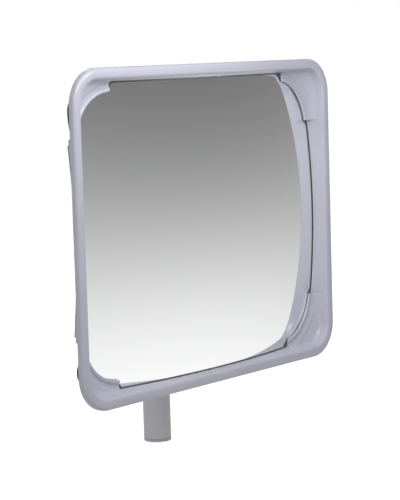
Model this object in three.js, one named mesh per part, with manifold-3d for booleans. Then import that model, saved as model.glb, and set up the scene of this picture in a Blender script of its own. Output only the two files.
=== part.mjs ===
// A rectangular convex security mirror on a stub of round post.
// Millimetres. The origin is the centre of the post's foot, +Z is up and the mirror faces -Y.
//
// The head (frame, mirror, shell, clips, bracket) is drawn in its own frame: x across, z up and
// y as the depth behind the plane of the rim's outer edge. The clamp is drawn round the post.

import * as THREE from 'three';
import { mergeVertices } from 'three/addons/utils/BufferGeometryUtils.js';
import Module from 'manifold-3d';

const wasm = await Module();
wasm.setup();

// ---------------------------------------------------------------- driving dimensions

const HEAD_WIDTH = 868;
const HEAD_HEIGHT = 680;
const RIM_CORNER_RADIUS = 75;
const HEAD_CENTRE_Z = 485;
const HEAD_REACH = 176; // from the post's axis to the rim's outer edge plane

const DOME_RADIUS = 1700;
const DOME_RISE = 23; // how far the dome's top stands in front of the rim's outer edge plane
const PANE_THICKNESS = 2.5;
const PANE_INSET = 28.5; // from the rim's outer edge to the pane's straight edges
const GAP = 0.3; // between pieces that touch

const RIM_DEPTH = 9; // outer wall of the rim, behind its outer edge plane
const RIM_WIDTH = 29; // outer edge to the foot of the inner wall
const SHELL_DEPTH = 65; // back face of the rear shell
const SHELL_WALL = 2.8;

const PAD_CENTRE_INSET = 145; // centre of a corner pad's arc, from both outer edges
const PAD_ARC_RADIUS = 96;
const PAD_END_INSET = 140; // where a pad's legs end, from the outer edge
const PANE_CORNER_RADIUS = 103;

const POST_RADIUS = 30;
const POST_WALL = 2.5;
const POST_TOP = 605;
const LINER_THICKNESS = 2.7;
const CLAMP_WALL = 6;
const CLAMP_HEIGHT = 80;

const TILT_AXIS_DEPTH = 105; // tilt pivot, behind the rim's outer edge plane
const TILT_LIMIT = 15; // degrees each way
const LOCK_RADIUS = 28; // lock bolt, above the tilt pivot

const ROUND_SIDES = 36; // facets of the post and what fits round it
const BOLT_SIDES = 12; // facets of bolts and their holes
const THROUGH = 200; // reach of a tool that cuts right through

// ---------------------------------------------------------------- solids

// Joins the shared corners of a geometry, and turns it the right way out.
function closedGeometry(geometry) {
  const bare = geometry.index ? geometry.clone() : geometry;
  bare.deleteAttribute('normal');
  bare.deleteAttribute('uv');
  const merged = mergeVertices(bare, 1e-4);
  const points = merged.attributes.position;
  const index = merged.index.array;
  const a = new THREE.Vector3();
  const b = new THREE.Vector3();
  const c = new THREE.Vector3();
  let volume = 0;
  for (let i = 0; i < index.length; i += 3) {
    a.fromBufferAttribute(points, index[i]);
    b.fromBufferAttribute(points, index[i + 1]);
    c.fromBufferAttribute(points, index[i + 2]);
    volume += a.dot(b.cross(c));
  }
  if (volume < 0) {
    for (let i = 0; i < index.length; i += 3) {
      [index[i + 1], index[i + 2]] = [index[i + 2], index[i + 1]];
    }
  }
  return merged;
}

function solid(geometry) {
  const closed = closedGeometry(geometry);
  const vertProperties = new Float32Array(closed.attributes.position.array);
  const triVerts = new Uint32Array(closed.index.array);
  return new wasm.Manifold(new wasm.Mesh({ numProp: 3, vertProperties, triVerts }));
}

function geometryOf(body) {
  const mesh = body.getMesh();
  const geometry = new THREE.BufferGeometry();
  geometry.setAttribute('position', new THREE.Float32BufferAttribute(mesh.vertProperties, 3));
  geometry.setIndex(Array.from(mesh.triVerts));
  geometry.computeVertexNormals();
  return geometry;
}

const joined = (...bodies) => bodies.reduce((whole, body) => whole.add(body));
const cut = (body, ...tools) => tools.reduce((rest, tool) => rest.subtract(tool), body);

// A straight bar between two points: round, or with sides = 6 a hexagon.
function bar(radius, from, to, sides = 20) {
  const start = new THREE.Vector3(...from);
  const end = new THREE.Vector3(...to);
  const along = end.clone().sub(start);
  const geometry = new THREE.CylinderGeometry(radius, radius, along.length(), sides);
  const turn = new THREE.Quaternion();
  turn.setFromUnitVectors(new THREE.Vector3(0, 1, 0), along.clone().normalize());
  geometry.applyQuaternion(turn);
  const middle = start.add(end).multiplyScalar(0.5);
  geometry.translate(middle.x, middle.y, middle.z);
  return solid(geometry);
}

// A copy of a body with x, z or both turned to the other side.
function mirrored(body, signX, signZ) {
  const geometry = geometryOf(body);
  const points = geometry.attributes.position;
  for (let i = 0; i < points.count; i += 1) {
    points.setX(i, points.getX(i) * signX);
    points.setZ(i, points.getZ(i) * signZ);
  }
  return solid(geometry);
}

function block(low, high) {
  const size = high.map((value, i) => value - low[i]);
  const geometry = new THREE.BoxGeometry(...size);
  geometry.translate(...low.map((value, i) => value + size[i] / 2));
  return solid(geometry);
}

// A flat plate whose outline is in x and z, between two depths.
function plate(shape, nearDepth, farDepth) {
  const geometry = new THREE.ExtrudeGeometry(shape, {
    depth: farDepth - nearDepth, bevelEnabled: false, curveSegments: 5,
  });
  geometry.rotateX(Math.PI / 2);
  geometry.translate(0, farDepth, 0);
  return solid(geometry);
}

// A flat plate whose outline is in y and z, between two places along x.
function cheek(shape, lowX, highX) {
  const geometry = new THREE.ExtrudeGeometry(shape, {
    depth: highX - lowX, bevelEnabled: false, curveSegments: 5,
  });
  const turn = new THREE.Matrix4().makeBasis(
    new THREE.Vector3(0, 1, 0), new THREE.Vector3(0, 0, 1), new THREE.Vector3(1, 0, 0),
  );
  geometry.applyMatrix4(turn);
  geometry.translate(lowX, 0, 0);
  return solid(geometry);
}

function roundedRectangle(low, high, radius) {
  const shape = new THREE.Shape();
  shape.moveTo(low[0] + radius, low[1]);
  shape.lineTo(high[0] - radius, low[1]);
  shape.absarc(high[0] - radius, low[1] + radius, radius, -Math.PI / 2, 0);
  shape.lineTo(high[0], high[1] - radius);
  shape.absarc(high[0] - radius, high[1] - radius, radius, 0, Math.PI / 2);
  shape.lineTo(low[0] + radius, high[1]);
  shape.absarc(low[0] + radius, high[1] - radius, radius, Math.PI / 2, Math.PI);
  shape.lineTo(low[0], low[1] + radius);
  shape.absarc(low[0] + radius, low[1] + radius, radius, Math.PI, Math.PI * 1.5);
  return shape;
}

// Tools that cut a round hole right through: from front to back, and from side to side.
const depthHole = (radius, x, z) => (
  bar(radius, [x, -THROUGH, z], [x, THROUGH, z], BOLT_SIDES));
const crossHole = (radius, y, z) => (
  bar(radius, [-THROUGH, y, z], [THROUGH, y, z], BOLT_SIDES));

// Skins a stack of rings that all have the same number of points. With closed = true the last
// ring joins the first, as on a picture frame. Otherwise a fan closes each end of the stack.
function skin(rings, closed) {
  const count = rings[0].length;
  const positions = rings.flat().flatMap((point) => [point.x, point.y, point.z]);
  const index = [];
  const bands = closed ? rings.length : rings.length - 1;
  for (let band = 0; band < bands; band += 1) {
    const here = band * count;
    const next = ((band + 1) % rings.length) * count;
    for (let i = 0; i < count; i += 1) {
      const j = (i + 1) % count;
      index.push(here + i, here + j, next + j, here + i, next + j, next + i);
    }
  }
  if (!closed) {
    [0, rings.length - 1].forEach((end) => {
      const ring = rings[end];
      const middle = new THREE.Vector3();
      ring.forEach((point) => middle.add(point));
      middle.divideScalar(count);
      const centre = positions.length / 3;
      positions.push(middle.x, middle.y, middle.z);
      for (let i = 0; i < count; i += 1) {
        const pair = [end * count + i, end * count + ((i + 1) % count)];
        index.push(centre, ...(end === 0 ? pair.reverse() : pair));
      }
    });
  }
  const geometry = new THREE.BufferGeometry();
  geometry.setAttribute('position', new THREE.Float32BufferAttribute(positions, 3));
  geometry.setIndex(index);
  return closedGeometry(geometry);
}

// ---------------------------------------------------------------- the head's outlines

const HALF_WIDTH = HEAD_WIDTH / 2;
const HALF_HEIGHT = HEAD_HEIGHT / 2;
const PAD_CENTRE = [HALF_WIDTH - PAD_CENTRE_INSET, HALF_HEIGHT - PAD_CENTRE_INSET];
const PAD_END = [HALF_WIDTH - PAD_END_INSET, HALF_HEIGHT - PAD_END_INSET];

// Depth of the mirror's front surface at a place on the head.
function domeDepth(x, z) {
  return DOME_RADIUS - Math.sqrt(DOME_RADIUS ** 2 - x * x - z * z) - DOME_RISE;
}

const QUARTERS = [[1, 1], [-1, 1], [-1, -1], [1, -1]];

// Repeats a quarter outline, which runs from the +x axis to the +z axis, round all four quarters.
function fourQuarters(quarter) {
  const ring = [];
  QUARTERS.forEach(([signX, signZ]) => {
    const points = quarter.map(([x, z]) => [x * signX, z * signZ]);
    if (signX * signZ < 0) points.reverse();
    ring.push(...points.slice(0, -1));
  });
  return ring;
}

function spaced(from, to, steps) {
  return Array.from({ length: steps + 1 }, (_, i) => from + ((to - from) * i) / steps);
}

function arcPoints(centre, radius, startDegrees, endDegrees, steps) {
  return spaced(startDegrees, endDegrees, steps).map((degrees) => {
    const angle = THREE.MathUtils.degToRad(degrees);
    return [centre[0] + radius * Math.cos(angle), centre[1] + radius * Math.sin(angle)];
  });
}

// The rim's outline, moved inwards by an inset. Extra points stand where the pads' legs end.
function rimOutline(inset) {
  const x = HALF_WIDTH - inset;
  const z = HALF_HEIGHT - inset;
  const radius = RIM_CORNER_RADIUS - inset;
  const centre = [x - radius, z - radius];
  const legZ = PAD_END[1];
  const legX = PAD_END[0];
  return fourQuarters([
    ...spaced(0, legZ - 8, 3).map((height) => [x, height]),
    [x, legZ],
    ...arcPoints(centre, radius, 0, 90, 6),
    [legX, z],
    ...spaced(legX - 8, 0, 4).map((width) => [width, z]),
  ]);
}

// The pane's outline, grown outwards. Its straight edges end a lap short of the pads' legs, and
// under the pads its corners are set in and round.
function paneOutline(grow, lap = -12, arcStart = 3) {
  const x = HALF_WIDTH - PANE_INSET + grow;
  const z = HALF_HEIGHT - PANE_INSET + grow;
  const radius = PANE_CORNER_RADIUS + grow;
  return fourQuarters([
    ...spaced(0, PAD_END[1] + lap, 4).map((height) => [x, height]),
    ...arcPoints(PAD_CENTRE, radius, arcStart, 90 - arcStart, 7),
    ...spaced(PAD_END[0] + lap, 0, 5).map((width) => [width, z]),
  ]);
}

const ringAt = (outline, depth) => outline.map(([x, z]) => new THREE.Vector3(x, depth(x, z), z));

// ---------------------------------------------------------------- the head's plastic and glass

const SEAM = 1.6; // between the frame's edge and the pane's face
const RIM_WALL = 2.4; // thickness of the rim's inner wall
const CORNER_WALL_DEPTH = 29;
const FRAME_DEPTHS = [-20, 60]; // the whole frame lies between these depths

// Depth of the rim's inner wall: it follows the dome, and stops short behind the corner pads.
function wallDepth(x, z) {
  const behindPad = Math.abs(x) > PAD_END[0] - 1 && Math.abs(z) > PAD_END[1] - 1;
  return behindPad ? CORNER_WALL_DEPTH : domeDepth(x, z) - SEAM;
}

// The section of a pad's bead: distance out from the arc, and thickness.
const BEAD = [[0, 1.5], [1, 3.6], [3, 4.8], [5.5, 4.6], [8, 3.4]];
const WEB_THICKNESS = 3.4; // of a pad's web beside its bead
const WEB_ROOT = 9; // and how much more it has at the rim's wall
// Distances from a pad's centre to the rim's wall, on the diagonal and along the legs.
const DIAGONAL_REACH = 152;
const LEG_REACH = 119;

// The corner pad at +x, +z: a web from the rim's inner wall down to a bead that laps the pane.
function cornerPad() {
  const beadEnd = PAD_ARC_RADIUS + BEAD[BEAD.length - 1][0];
  const webRadii = [114, 130, 165];
  const sections = spaced(-6, 96, 10).map((degrees) => {
    const angle = THREE.MathUtils.degToRad(degrees);
    const placeAt = (radius) => [
      PAD_CENTRE[0] + radius * Math.cos(angle),
      PAD_CENTRE[1] + radius * Math.sin(angle),
    ];
    const overPane = (radius) => domeDepth(...placeAt(radius)) - SEAM;
    const fromDiagonal = Math.abs(degrees - 45) / 51;
    const toWall = DIAGONAL_REACH - (DIAGONAL_REACH - LEG_REACH) * fromDiagonal ** 1.5;
    const layers = BEAD.map(([out, thickness]) => {
      const radius = PAD_ARC_RADIUS + out;
      return { radius, under: overPane(radius), thickness };
    });
    webRadii.forEach((radius) => {
      const outwards = Math.min((radius - beadEnd) / (toWall - beadEnd), 1);
      const under = THREE.MathUtils.lerp(overPane(beadEnd), CORNER_WALL_DEPTH - GAP, outwards);
      layers.push({ radius, under, thickness: WEB_THICKNESS + WEB_ROOT * outwards ** 2 });
    });
    const point = ({ radius }, depth) => {
      const [x, z] = placeAt(radius);
      return new THREE.Vector3(x, depth, z);
    };
    const bottom = layers.map((layer) => point(layer, layer.under));
    const top = layers.map((layer) => point(layer, layer.under - layer.thickness));
    return [...bottom, ...top.reverse()];
  });
  const wallInset = RIM_WIDTH - RIM_WALL - 0.2; // just inside the back of the rim's wall
  const trim = plate(roundedRectangle(
    [wallInset - HALF_WIDTH, wallInset - HALF_HEIGHT],
    [HALF_WIDTH - wallInset, HALF_HEIGHT - wallInset],
    RIM_CORNER_RADIUS - wallInset,
  ), ...FRAME_DEPTHS);
  const [near, far] = FRAME_DEPTHS;
  const corner = block([PAD_END[0], near, PAD_END[1]], [HALF_WIDTH, far, HALF_HEIGHT]);
  return solid(skin(sections, false)).intersect(trim).intersect(corner);
}

// The rim's section: inset from the outer edge, and depth. The last front point and the first
// back point stand on the edge of the inner wall.
function frontFrame() {
  const front = [[0, RIM_DEPTH], [0, 1], [1.2, -2.4], [4.5, -4.6], [11, -5.6], [17.5, -4.6],
    [21.2, -2.2], [22.8, 1.5]];
  const back = [[20.4, 2.5], [18.5, -1], [11, -2.6], [4.5, -1.5], [3, 1.5], [3, RIM_DEPTH]];
  const rimRing = ([inset, depth]) => ringAt(rimOutline(inset), () => depth);
  const rings = [
    ...front.map(rimRing),
    ringAt(rimOutline(RIM_WIDTH), wallDepth),
    ringAt(rimOutline(RIM_WIDTH - RIM_WALL), wallDepth),
    ...back.map(rimRing),
  ];
  const rim = solid(skin(rings, true));
  const pad = cornerPad();
  const pads = QUARTERS.map(([signX, signZ]) => mirrored(pad, signX, signZ));
  return joined(rim, ...pads);
}

function mirrorPane() {
  const edge = paneOutline(0);
  const scales = [1, 0.88, 0.72, 0.5, 0.25];
  const scaled = (scale) => edge.map(([x, z]) => [x * scale, z * scale]);
  const front = scales.map((scale) => ringAt(scaled(scale), domeDepth));
  const backDepth = (x, z) => domeDepth(x, z) + PANE_THICKNESS;
  const back = scales.map((scale) => ringAt(scaled(scale), backDepth));
  return solid(skin([...back.reverse(), ...front], false));
}

const GASKET_THICKNESS = 0.7;

// The gasket fills the slit between the rim and the pane, so it runs on to just under the pads.
function edgeGasket() {
  const far = (x, z) => domeDepth(x, z) - GAP;
  const near = (x, z) => far(x, z) - GASKET_THICKNESS;
  const inner = paneOutline(-2.2);
  const outer = paneOutline(-0.1, 3, 8);
  return solid(skin([
    ringAt(outer, near), ringAt(inner, near), ringAt(inner, far), ringAt(outer, far),
  ], true));
}

const BRACKET_BOLTS = [[55, 40], [-55, 40], [-55, -40], [55, -40]];
const BRACKET_BOLT_RADIUS = 4;
const BRACKET_BOLT_WIDTH = 13;
const BRACKET_BOLT_HEAD = 5.3;
const BRACKET_NUT_LENGTH = 6.5;

// The shell's outer section: growth from the pane's edge, and distance behind the dome.
const SHELL_SHOULDER = [[1.6, 0.2], [1.6, 2.4], [-4, 6.2], [-16, 12.4]];
// And from there on: growth from the pane's edge, and distance in front of the flat back.
const SHELL_SLOPE = [[-66, 4], [-94, 0]];
const SHELL_LEDGE = PANE_THICKNESS + GAP; // the pane's back rests here

// Rings of the shell are grown from the pane's edge, and lie behind the dome or at one depth.
const behindDome = (grow, extra) => (
  ringAt(paneOutline(grow), (x, z) => domeDepth(x, z) + extra));
const atDepth = (grow, depth) => ringAt(paneOutline(grow), () => depth);

// The shell's outer surface, from its front edge to the flat back, pushed out by a margin.
function shellOutside(margin = 0) {
  return [
    ...SHELL_SHOULDER.map(([grow, behind], i) => (
      behindDome(grow + margin, i === 0 ? behind : behind + margin))),
    ...SHELL_SLOPE.map(([grow, before]) => atDepth(grow + margin, SHELL_DEPTH - before + margin)),
  ];
}

function rearShell() {
  const inside = SHELL_DEPTH - SHELL_WALL;
  const rings = [
    atDepth(-92, inside),
    atDepth(-64, inside - 4),
    behindDome(-15, 9.4),
    behindDome(-6, SHELL_LEDGE + 1.4),
    behindDome(-5, SHELL_LEDGE),
    behindDome(GAP, SHELL_LEDGE),
    behindDome(GAP, 0.2),
    ...shellOutside(),
  ];
  const dish = solid(skin(rings, false));
  const boltHoles = BRACKET_BOLTS.map((bolt) => depthHole(BRACKET_BOLT_RADIUS + 2 * GAP, ...bolt));
  const screwHoles = QUARTERS.map((quarter) => (
    depthHole(CLIP_SCREW_RADIUS + GAP, ...clipScrewPlace(...quarter))));
  return cut(dish, ...boltHoles, ...screwHoles);
}

// ---------------------------------------------------------------- corner clips

const CLIP_OUTER_X = HALF_WIDTH - 47;
const CLIP_WIDTH = 55;
const CLIP_FRONT = 37.5;
const CLIP_END_DROP = 5; // how far the hump falls away at each end
const CLIP_SCREW_RADIUS = 2.4;
const CLIP_SCREW_HEAD = 5;
const CLIP_SCREW_HEAD_LENGTH = 3;
const CLIP_SCREW_TIP = 42.5;
const CLIP_SCREW_REACH = 90; // from the centre of the pad's arc
// Each clip's ends and the top of its hump along z, and the depth of the hump.
const UPPER_CLIP = { low: 213, peak: 254, high: 273, hump: 55.5 };
const LOWER_CLIP = { low: 243, peak: 266, high: 284, hump: 52 };

// The clip's screw stands at its hump, a set distance from the centre of the pad's arc.
function clipScrewPlace(signX, signZ) {
  const { peak } = signZ > 0 ? UPPER_CLIP : LOWER_CLIP;
  const across = Math.sqrt(CLIP_SCREW_REACH ** 2 - (peak - PAD_CENTRE[1]) ** 2);
  return [signX * (PAD_CENTRE[0] + across), signZ * peak];
}

// A clip hooks round the shell's edge behind a corner pad. Its back is a low hump along z.
function cornerClip(signX, signZ) {
  const { low, peak, high, hump } = signZ > 0 ? UPPER_CLIP : LOWER_CLIP;
  const outline = new THREE.Shape();
  outline.moveTo(hump - CLIP_END_DROP, low);
  outline.quadraticCurveTo(hump, (low + peak) / 2, hump, peak);
  outline.quadraticCurveTo(hump, high - CLIP_END_DROP, hump - CLIP_END_DROP, high);
  outline.lineTo(CLIP_FRONT, high);
  outline.lineTo(CLIP_FRONT, low);
  outline.closePath();
  const [shellGrow] = SHELL_SHOULDER[0];
  const shellAndPane = [behindDome(shellGrow + GAP, -10), ...shellOutside(GAP)];
  const hook = cut(
    cheek(outline, CLIP_OUTER_X - CLIP_WIDTH, CLIP_OUTER_X),
    solid(skin(shellAndPane, false)),
  );
  const hole = depthHole(CLIP_SCREW_RADIUS + GAP, ...clipScrewPlace(signX, signZ));
  return cut(mirrored(hook, signX, signZ), hole);
}

// ---------------------------------------------------------------- fasteners

function along(from, to, distance) {
  const start = new THREE.Vector3(...from);
  const direction = new THREE.Vector3(...to).sub(start).normalize();
  return start.addScaledVector(direction, distance).toArray();
}

// The head starts at from, and the shank ends at to.
function hexBolt(radius, headWidth, headLength, from, to) {
  const head = bar(headWidth / Math.sqrt(3), from, along(from, to, headLength), 6);
  return joined(head, bar(radius, along(from, to, headLength / 2), to, BOLT_SIDES));
}

function bored(body, radius, from, to) {
  return cut(body, bar(radius, along(from, to, -1), along(to, from, -1), BOLT_SIDES));
}

function hexNut(boltRadius, width, from, to) {
  return bored(bar(width / Math.sqrt(3), from, to, 6), boltRadius + GAP, from, to);
}

function washer(boltRadius, outerRadius, from, to) {
  return bored(bar(outerRadius, from, to), boltRadius + GAP, from, to);
}

function panScrew(radius, headRadius, headLength, from, to) {
  const head = bar(headRadius, from, along(from, to, headLength), BOLT_SIDES);
  return joined(head, bar(radius, along(from, to, headLength / 2), to, BOLT_SIDES));
}

// ---------------------------------------------------------------- tilt bracket, on the head

const BRACKET_PLATE = 4;
const PLATE_HALF_WIDTH = 75;
const PLATE_HALF_HEIGHT = 60;
const PLATE_CORNER = 12;
const BRACKET_FRONT = SHELL_DEPTH + GAP;
const BRACKET_BACK = BRACKET_FRONT + BRACKET_PLATE;
const SPREADER_THICKNESS = 3;
const SPREADER_BACK = SHELL_DEPTH - SHELL_WALL - GAP;
const EAR_INNER_X = 29.5;
const EAR_OUTER_X = EAR_INNER_X + BRACKET_PLATE;
const EAR_REACH = 20; // past the tilt axis
const EAR_TOP = 42;
const PIVOT_RADIUS = 6;
const LOCK_BOLT_RADIUS = 4;
const BOLT_CLEARANCE = 0.4;
const WASHER_THICKNESS = 1.6;
const THREAD_END = 4; // a bolt's end stands this far out of its nut

function boltPlate(nearDepth, farDepth) {
  const outline = roundedRectangle(
    [-PLATE_HALF_WIDTH, -PLATE_HALF_HEIGHT], [PLATE_HALF_WIDTH, PLATE_HALF_HEIGHT], PLATE_CORNER,
  );
  const holes = BRACKET_BOLTS.map((bolt) => (
    depthHole(BRACKET_BOLT_RADIUS + BOLT_CLEARANCE, ...bolt)));
  return cut(plate(outline, nearDepth, farDepth), ...holes);
}

function tiltBracket() {
  const ear = roundedRectangle(
    [BRACKET_FRONT + 1, -EAR_REACH], [TILT_AXIS_DEPTH + EAR_REACH, EAR_TOP], PLATE_CORNER,
  );
  const pivotHole = crossHole(PIVOT_RADIUS + BOLT_CLEARANCE, TILT_AXIS_DEPTH, 0);
  const lockHole = crossHole(LOCK_BOLT_RADIUS + BOLT_CLEARANCE, TILT_AXIS_DEPTH, LOCK_RADIUS);
  const whole = joined(
    boltPlate(BRACKET_FRONT, BRACKET_BACK),
    cheek(ear, EAR_INNER_X, EAR_OUTER_X),
    cheek(ear, -EAR_OUTER_X, -EAR_INNER_X),
  );
  return cut(whole, pivotHole, lockHole);
}

// A bolt across both ears, with its washers and nut, as four solids.
function crossBolt(name, radius, height) {
  const at = (x) => [x, TILT_AXIS_DEPTH, height];
  const washerIn = EAR_OUTER_X + GAP;
  const washerOut = washerIn + WASHER_THICKNESS;
  const faceX = washerOut + GAP;
  const headLength = radius * 1.3;
  const width = radius * 3.1;
  const outerRadius = radius * 1.9;
  return {
    [`${name}_bolt`]: hexBolt(radius, width, headLength,
      at(-faceX - headLength), at(faceX + headLength + THREAD_END)),
    [`${name}_washer_left`]: washer(radius, outerRadius, at(-washerOut), at(-washerIn)),
    [`${name}_washer_right`]: washer(radius, outerRadius, at(washerIn), at(washerOut)),
    [`${name}_nut`]: hexNut(radius, width, at(faceX), at(faceX + headLength + 1)),
  };
}

// The four bolts from the spreader through the shell to the bracket, with their nuts.
function bracketBolts() {
  const headFace = SPREADER_BACK - SPREADER_THICKNESS - GAP;
  const nutFace = BRACKET_BACK + GAP;
  const nutEnd = nutFace + BRACKET_NUT_LENGTH;
  const pieces = {};
  BRACKET_BOLTS.forEach(([x, z], i) => {
    const at = (depth) => [x, depth, z];
    pieces[`bracket_bolt_${i + 1}`] = hexBolt(
      BRACKET_BOLT_RADIUS, BRACKET_BOLT_WIDTH, BRACKET_BOLT_HEAD,
      at(headFace - BRACKET_BOLT_HEAD), at(nutEnd + THREAD_END),
    );
    pieces[`bracket_nut_${i + 1}`] = hexNut(
      BRACKET_BOLT_RADIUS, BRACKET_BOLT_WIDTH, at(nutFace), at(nutEnd),
    );
  });
  return pieces;
}

// ---------------------------------------------------------------- clamp, round the post

// These pieces are drawn with the post's axis at x = y = 0 and the clamp's middle at z = 0.
const LINER_INNER = POST_RADIUS + GAP;
const LINER_OUTER = LINER_INNER + LINER_THICKNESS;
const CLAMP_BORE = LINER_OUTER + GAP;
const CLAMP_OUTER = CLAMP_BORE + CLAMP_WALL;
const FLANGE_END = 66;
const FLANGE_GAP = 3; // between the clamp's two halves
const FLANGE_THICKNESS = 8;
const CLAMP_BOLT_RADIUS = 5;
const CLAMP_BOLT_WIDTH = 16;
const CLAMP_BOLT_HEAD = 6.4;
const CLAMP_NUT_LENGTH = 8;
const CLAMP_BOLTS = [[-52, 22], [52, 22], [-52, -22], [52, -22]];
const PIVOT_Y = TILT_AXIS_DEPTH - HEAD_REACH;
const LUG_INNER_X = 24;
const LUG_OUTER_X = 29;
const LUG_REACH = 18; // in front of the tilt axis
const LUG_ROOT_Y = -26;
const LUG_HEIGHTS = [-22, 39];
const LUG_CORNER = 14;
const BUSH_RADIUS = 10;
const LINER_LIP = 3; // the liner stands out of the clamp above and below
const LINER_SPLIT = 0.5;

function tube(innerRadius, outerRadius, low, high, sides = ROUND_SIDES) {
  const outer = bar(outerRadius, [0, 0, low], [0, 0, high], sides);
  return cut(outer, bar(innerRadius, [0, 0, low - 1], [0, 0, high + 1], sides));
}

// Half a clamp with a bolting flange at each side: side is -1 for the front, 1 for the rear.
function clampHalf(side, extras = []) {
  const half = CLAMP_HEIGHT / 2;
  const shell = bar(CLAMP_OUTER, [0, 0, -half], [0, 0, half], ROUND_SIDES);
  const flangeFace = FLANGE_GAP / 2;
  const flangeBack = flangeFace + FLANGE_THICKNESS;
  const sorted = (a, b) => [Math.min(a, b), Math.max(a, b)];
  const [nearY, farY] = sorted(side * flangeFace, side * flangeBack);
  const flanges = block([-FLANGE_END, nearY, -half], [FLANGE_END, farY, half]);
  const [lowY, highY] = sorted(side * flangeFace, side * THROUGH);
  const keep = block([-THROUGH, lowY, -THROUGH], [THROUGH, highY, THROUGH]);
  const bore = bar(CLAMP_BORE, [0, 0, -half - 1], [0, 0, half + 1], ROUND_SIDES);
  const holes = CLAMP_BOLTS.map((bolt) => (
    depthHole(CLAMP_BOLT_RADIUS + BOLT_CLEARANCE, ...bolt)));
  return cut(joined(shell, flanges, ...extras).intersect(keep), bore, ...holes);
}

// The two lugs that the tilt bracket's ears straddle, each with the lock bolt's curved slot.
function clampFront() {
  const [low, high] = LUG_HEIGHTS;
  const outline = roundedRectangle([PIVOT_Y - LUG_REACH, low], [LUG_ROOT_Y, high], LUG_CORNER);
  const lugs = [LUG_INNER_X, -LUG_OUTER_X].map((lowX) => (
    cheek(outline, lowX, lowX + LUG_OUTER_X - LUG_INNER_X)));
  const pivotHole = crossHole(PIVOT_RADIUS + BOLT_CLEARANCE, PIVOT_Y, 0);
  const halfWidth = LOCK_BOLT_RADIUS + BOLT_CLEARANCE;
  const slotAngle = THREE.MathUtils.degToRad(TILT_LIMIT + 2);
  const up = Math.PI / 2;
  const slot = new THREE.Shape();
  const end = (angle) => [
    PIVOT_Y + LOCK_RADIUS * Math.cos(angle), LOCK_RADIUS * Math.sin(angle)];
  slot.absarc(PIVOT_Y, 0, LOCK_RADIUS - halfWidth, up - slotAngle, up + slotAngle, false);
  slot.absarc(...end(up + slotAngle), halfWidth, up + slotAngle + Math.PI, up + slotAngle, true);
  slot.absarc(PIVOT_Y, 0, LOCK_RADIUS + halfWidth, up + slotAngle, up - slotAngle, true);
  slot.absarc(...end(up - slotAngle), halfWidth, up - slotAngle, up - slotAngle - Math.PI, true);
  return cut(clampHalf(-1, lugs), pivotHole, cheek(slot, -THROUGH, THROUGH));
}

function linerHalf(side) {
  const half = CLAMP_HEIGHT / 2 + LINER_LIP;
  const sleeve = tube(LINER_INNER, LINER_OUTER, -half, half);
  const [low, high] = side < 0 ? [-THROUGH, -LINER_SPLIT] : [LINER_SPLIT, THROUGH];
  return sleeve.intersect(block([-THROUGH, low, -THROUGH], [THROUGH, high, THROUGH]));
}

function clampBolts() {
  const face = FLANGE_GAP / 2 + FLANGE_THICKNESS + GAP;
  const pieces = {};
  CLAMP_BOLTS.forEach(([x, z]) => {
    const where = `${z > 0 ? 'upper' : 'lower'}_${x < 0 ? 'left' : 'right'}`;
    const at = (y) => [x, y, z];
    const from = at(-face - CLAMP_BOLT_HEAD);
    const to = at(face + CLAMP_NUT_LENGTH + THREAD_END);
    pieces[`clamp_bolt_${where}`] = hexBolt(
      CLAMP_BOLT_RADIUS, CLAMP_BOLT_WIDTH, CLAMP_BOLT_HEAD, from, to,
    );
    pieces[`clamp_nut_${where}`] = hexNut(
      CLAMP_BOLT_RADIUS, CLAMP_BOLT_WIDTH, at(face), at(face + CLAMP_NUT_LENGTH),
    );
  });
  return pieces;
}

// ---------------------------------------------------------------- post

const CAP_THICKNESS = 5;
const FOOT_THICKNESS = 6;
const PLUG_LENGTH = 24;

// A round cap or foot: a disc over the post's end and a plug inside it.
function postEnd(endZ, plugZ, discZ) {
  const plugRadius = POST_RADIUS - POST_WALL - GAP;
  return joined(
    bar(POST_RADIUS, [0, 0, endZ], [0, 0, discZ], ROUND_SIDES),
    bar(plugRadius, [0, 0, (endZ + discZ) / 2], [0, 0, plugZ], ROUND_SIDES),
  );
}

// ---------------------------------------------------------------- materials

const finish = (color, roughness, metalness = 0) => (
  new THREE.MeshStandardMaterial({ color, roughness, metalness }));

const PLASTIC_GREY = finish(0xc3c3ce, 0.4);
const SHELL_GREY = finish(0xb4b4bd, 0.55);
const BLACK_PLASTIC = finish(0x1d1d20, 0.5);
const DARK_RUBBER = finish(0x2c2c30, 0.8);
const MIRROR = finish(0xe8eaec, 0.03, 1);
const GALVANISED = finish(0xa7a8ab, 0.45, 1);
const ZINC = finish(0xbfc0c4, 0.3, 1);
const POST_STEEL = finish(0x96959a, 0.5, 0.9);

// ---------------------------------------------------------------- assembly

const mirror = new THREE.Group();

function place(group, pieces, material) {
  Object.entries(pieces).forEach(([name, body]) => {
    const mesh = new THREE.Mesh(geometryOf(body), material);
    mesh.name = name;
    group.add(mesh);
  });
}

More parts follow.
